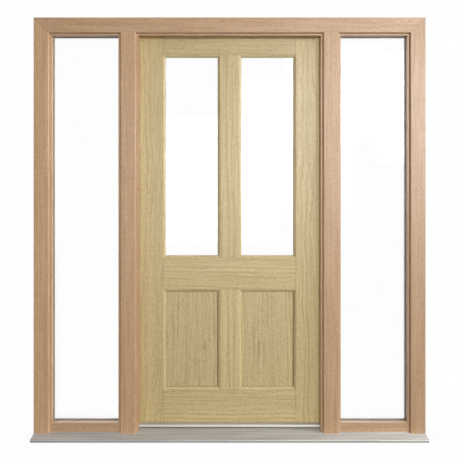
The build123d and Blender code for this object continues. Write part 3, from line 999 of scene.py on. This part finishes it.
@dataclass
class Hinges:
    """Three butt hinges of satin stainless steel, each half held by four countersunk screws."""

    heights_mm: tuple[tuple[str, float], ...] = (("upper", 1785.0), ("middle", 1030.0), ("lower", 275.0))
    frame_face_mm: float = -468.5
    leaf_face_mm: float = -463.0
    screws_mm: tuple[Pair, ...] = ((35.0, -39.0), (49.0, -14.0), (35.0, 14.0), (49.0, 39.0))
    first_turn_deg: float = 23.0
    turn_step_deg: float = 31.0

    def dress(self) -> None:
        """Gives the plates a satin finish and sets their screws, whose turned heads are a little glossier."""
        plate = BrushedMetal("#C9C6C0", 0.32, contrast=0.05, scratch_mm=(3.0, 3.0, 0.6))
        head = BrushedMetal("#BFBBB4", 0.28, contrast=0.05, scratch_mm=(0.6, 0.6, 0.6))
        plate_finish = plate.material("satin stainless steel hinge")
        head_finish = head.material("turned stainless steel screw")
        for place, height_mm in self.heights_mm:
            for half, face_mm, out in (("frame", self.frame_face_mm, 1), ("leaf", self.leaf_face_mm, -1)):
                paint(f"{place}_hinge_{half}_half", plate_finish)
                self._screws(f"{place}_hinge_{half}_screws", half, (face_mm, height_mm), out, head_finish)

    def _screws(self, title: str, body: str, place_mm: Pair, out: int, finish: Material) -> None:
        """Sets the four screws of one hinge half.

        Args:
            title: the piece's name.
            body: the body that the piece rides on.
            place_mm: the plate's face along X and the hinge's middle height.
            out: 1 where the plate faces +X, and -1 where it faces -X.
            finish: the screws' finish.
        """
        face_mm, height_mm = place_mm
        shape = bmesh.new()
        turned = Matrix.Rotation(math.radians(90 * out), 4, "Y")
        for number, (depth_mm, rise_mm) in enumerate(self.screws_mm):
            spot = Matrix.Translation((face_mm * MM, depth_mm * MM, (height_mm + rise_mm) * MM))
            twist = Matrix.Rotation(math.radians(self.first_turn_deg + self.turn_step_deg * number), 4, "Z")
            ScrewHead().add_to(shape, spot @ turned @ twist)
        bmesh.ops.recalc_face_normals(shape, faces=shape.faces)
        mesh = bpy.data.meshes.new(title)
        shape.to_mesh(mesh)
        shape.free()
        mesh.materials.append(finish)
        piece = set_out(title, mesh)
        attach(piece, body)
        LOG.info("%s: %d faces, %s", title, len(mesh.polygons), finish.name)


class Shows(Enum):
    """Whether a lamp lights a surface, and whether it is reflected in it, like a bright window in lacquer."""

    BOTH = (True, True)
    MATT = (True, False)
    SHEEN = (False, True)


@dataclass(frozen=True)
class Softbox:
    """A studio lamp: where it stands, what it points at, its width and height, its power and how it shows.

    A lamp that passes the frame throws no shadow of the frame's timbers, as in the photo, whose leaf has none from the
    mullions. A lamp lights only the nodes that lights_only names, or all but those that skips names.
    """

    title: str
    place: Triple
    aim: Triple
    size: Pair
    power: float
    shows: Shows = Shows.BOTH
    passes_frame: bool = False
    lights_only: tuple[str, ...] = ()
    skips: tuple[str, ...] = ()

    def build(self) -> None:
        """Hangs the lamp in the studio."""
        title = f"{self.title} softbox"
        lamp = bpy.data.lights.new(title, "AREA")
        lamp.shape = "RECTANGLE"
        lamp.size, lamp.size_y = self.size
        lamp.energy = self.power
        holder = set_out(title, lamp)
        holder.location = self.place
        holder.rotation_euler = (Vector(self.aim) - Vector(self.place)).to_track_quat("-Z", "Y").to_euler()
        holder.visible_camera = holder.visible_transmission = False
        holder.visible_diffuse, holder.visible_glossy = self.shows.value
        if self.passes_frame:
            stops = bpy.data.collections.new(f"what stops the {title}")
            for name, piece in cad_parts.items():
                if not name.endswith(("jamb", "mullion", "sidelight_rail")) and name != "head":
                    stops.objects.link(piece)
            holder.light_linking.blocker_collection = stops
        if self.lights_only or self.skips:
            lit = bpy.data.collections.new(f"what the {title} lights or skips")
            for name in self.lights_only + self.skips:
                lit.objects.link(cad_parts[name])
            if self.skips:
                for entry in lit.collection_objects:
                    entry.light_linking.link_state = "EXCLUDE"
            holder.light_linking.receiver_collection = lit


@dataclass
class Studio:
    """The plain white studio: floor, surround, lamps and the camera.

    The camera stands where the photo's perspective puts it. The surround's light is fill_top straight above and fades
    to none at the level. The floor's painted shade reaches out by shade_reach and is darker than white by shade_depth.
    """

    camera_place: Triple = (0.0, -3.1115, 1.233)
    lens_mm: float = 48.05
    shift_x: float = 0.001
    shift_y: float = -0.087
    floor_half: float = 12.0
    floor_colour: str = "#4C4B4A"
    floor_drop_mm: float = 0.5
    fill_top: float = 0.5
    shade_reach: float = 0.16
    shade_depth: float = 0.12

    def build(self) -> None:
        """Builds the whole studio."""
        self._floor()
        self._world()
        for lamp in self._lamps():
            lamp.build()
        self._camera()
        bpy.context.scene.view_settings.view_transform = "Standard"

    def _lamps(self) -> tuple[Softbox, ...]:
        """Lists the lamps.

        The photo's leaf is lit from further round than its frame, so the right softbox lights all but the leaf, and the
        leaf softbox only the leaf. The rim softbox gives the bright edges of the sidelight rails and the right jamb,
        and the sill softbox the sill's bright right end. The back, left and top softboxes light the other sides.

        Returns:
            The studio's lamps.
        """
        middle = (0.0, 0.0, 1.1)
        return (
            Softbox("front", (1.1, -8.0, 2.1), middle, (2.4, 2.4), 45.0),
            Softbox(
                "right", (8.0, -9.5, 2.8), middle, (3.6, 3.6), 990.0, passes_frame=True, skips=LEAF_NODES,
            ),
            Softbox(
                "leaf", (9.2, -8.3, 2.8), middle, (3.0, 3.0), 1080.0, passes_frame=True,
                lights_only=LEAF_NODES,
            ),
            Softbox("back", (-0.9, 8.5, 2.6), middle, (2.4, 2.4), 430.0, Shows.MATT),
            Softbox("left", (-8.5, 0.9, 1.4), (-0.9, 0.1, 1.1), (2.0, 2.0), 300.0, Shows.MATT),
            Softbox("top", (0.0, -0.2, 5.2), (0.0, -0.1, 1.0), (3.0, 1.2), 28.0, Shows.MATT),
            Softbox(
                "rim", (0.0, 8.5, 3.8), (0.0, 0.0, 0.3), (7.0, 1.4), 430.0, Shows.SHEEN,
                lights_only=("left_sidelight_rail", "right_sidelight_rail", "right_jamb"),
            ),
            Softbox("key", (1.1, -3.3, 2.2), (0.0, 0.0, 1.0), (1.0, 1.0), 20.0),
            Softbox("side", (3.4, -2.6, 1.9), (0.2, 0.0, 1.1), (1.8, 1.8), 36.0),
            Softbox("sheen", (2.1, -3.3, 2.1), (0.3, 0.0, 1.2), (1.2, 1.2), 62.0, Shows.SHEEN),
            Softbox("flank", (3.2, -0.9, 1.2), (0.0, 0.0, 1.0), (1.0, 2.2), 10.0, Shows.SHEEN),
            Softbox(
                "sill", (2.1, -0.5, 0.9), (0.95, -0.1, 0.0), (0.4, 0.4), 27.0,
                lights_only=("sill", "threshold"),
            ),
            Softbox("centre", (-0.2, -6.5, 1.4), (0.0, 0.0, 1.2), (2.0, 2.0), 78.0, Shows.SHEEN),
        )

    def _seen_white(
        self, tree: NodeTree, otherwise: NodeSocket, kind: str, strength: float | NodeSocket = 1.0
    ) -> NodeSocket:
        """Shows white to the camera, to mirrors and through glass, and something else to all other rays.

        Args:
            tree: the node tree.
            otherwise: the shader for the other rays.
            kind: the node type of the white shader.
            strength: how white it is, where 1 is white.

        Returns:
            The mixed shader's socket.
        """
        path = add_node(tree, "ShaderNodeLightPath")
        seen = path.outputs["Is Camera Ray"]
        for name in ("Is Glossy Ray", "Is Transmission Ray"):
            either = add_node(tree, "ShaderNodeMath", {"operation": "MAXIMUM"}, {0: seen, 1: path.outputs[name]})
            seen = either.outputs[0]
        white = add_node(tree, kind, inputs={"Color": WHITE, "Strength": strength})
        return add_node(tree, "ShaderNodeMixShader", inputs={0: seen, 1: otherwise, 2: white.outputs[0]}).outputs[0]

    def _floor(self) -> None:
        """Lays the pale floor under the sill, with a painted shade round the sill, drawn from ambient occlusion."""
        material, tree = blank_material("pale studio floor")
        matt = add_node(tree, "ShaderNodeBsdfDiffuse", inputs={"Color": linear(self.floor_colour)})
        open_sky = add_node(tree, "ShaderNodeAmbientOcclusion", {"samples": 8}, {"Distance": self.shade_reach})
        white = add_node(
            tree, "ShaderNodeMapRange", inputs={"Value": open_sky.outputs["AO"], "To Min": 1 - self.shade_depth}
        )
        surface = self._seen_white(tree, matt.outputs[0], "ShaderNodeEmission", white.outputs[0])
        add_node(tree, "ShaderNodeOutputMaterial", inputs={"Surface": surface})
        mesh = bpy.data.meshes.new("floor")
        shape = bmesh.new()
        bmesh.ops.create_grid(shape, x_segments=1, y_segments=1, size=self.floor_half)
        shape.to_mesh(mesh)
        shape.free()
        mesh.materials.append(material)
        floor = set_out("floor", mesh)
        floor.location.z = -self.floor_drop_mm * MM

    def _world(self) -> None:
        """Sets the surround: white to the eye, and a soft fill from above for the object."""
        world = bpy.data.worlds.new("studio surround")
        world.use_nodes = True
        tree = world.node_tree
        tree.nodes.clear()
        place = add_node(tree, "ShaderNodeTexCoord")
        facing = add_node(
            tree, "ShaderNodeVectorMath", {"operation": "DOT_PRODUCT"},
            {0: place.outputs["Generated"], 1: (0.0, 0.0, self.fill_top)},
        )
        above = add_node(tree, "ShaderNodeMath", {"operation": "MAXIMUM"}, {0: facing.outputs["Value"], 1: 0.0})
        fill = add_node(tree, "ShaderNodeBackground", inputs={"Color": WHITE, "Strength": above.outputs[0]})
        surface = self._seen_white(tree, fill.outputs[0], "ShaderNodeBackground")
        add_node(tree, "ShaderNodeOutputWorld", inputs={"Surface": surface})
        bpy.context.scene.world = world

    def _camera(self) -> None:
        """Sets up the camera square on to the set, with its view shifted down instead of tilted."""
        lens = bpy.data.cameras.new("camera")
        lens.lens = self.lens_mm
        lens.shift_x = self.shift_x
        lens.shift_y = self.shift_y
        camera = set_out("camera", lens)
        camera.location = self.camera_place
        camera.rotation_euler = (math.radians(90.0), 0.0, 0.0)
        bpy.context.scene.camera = camera


def main() -> None:
    """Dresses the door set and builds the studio."""
    logging.basicConfig(level=logging.INFO, format="%(name)s: %(message)s")
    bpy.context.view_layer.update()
    FrameTimber().dress()
    Leaf().dress()
    Metalwork().dress()
    Glazing().dress()
    Hinges().dress()
    Studio().build()


if __name__ == "__main__":
    main()
